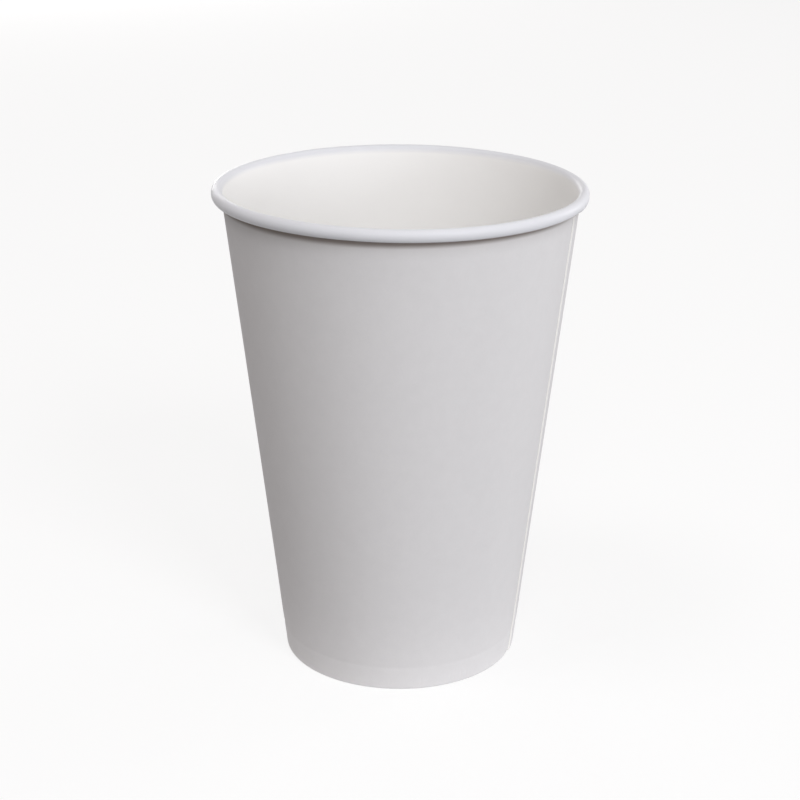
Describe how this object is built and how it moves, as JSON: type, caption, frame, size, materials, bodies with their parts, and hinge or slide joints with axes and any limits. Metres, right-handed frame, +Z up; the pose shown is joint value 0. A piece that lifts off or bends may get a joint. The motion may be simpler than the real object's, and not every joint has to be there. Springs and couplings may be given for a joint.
{
  "type": "paper cup",
  "caption": "Tall tapered single-wall paper cup with a rolled rim, a lapped side seam and a recessed bottom set in a turned-in foot.",
  "frame": {"origin": "centre of the foot, on the surface the cup stands on", "axes": "+Z up the cup's axis towards the rim; the side seam's visible cut edge lies 17.5 degrees from +X towards -Y"},
  "size_m": [0.09, 0.09, 0.1204],
  "materials": {
    "wall_board": "matte uncoated board outside, satin coated face inside and over the rolled rim",
    "bottom_board": "satin coated face on top, matte board underneath"
  },
  "bodies": {
    "root": {"sidewall": "wall_board", "bottom": "bottom_board"}
  },
  "joints": []
}
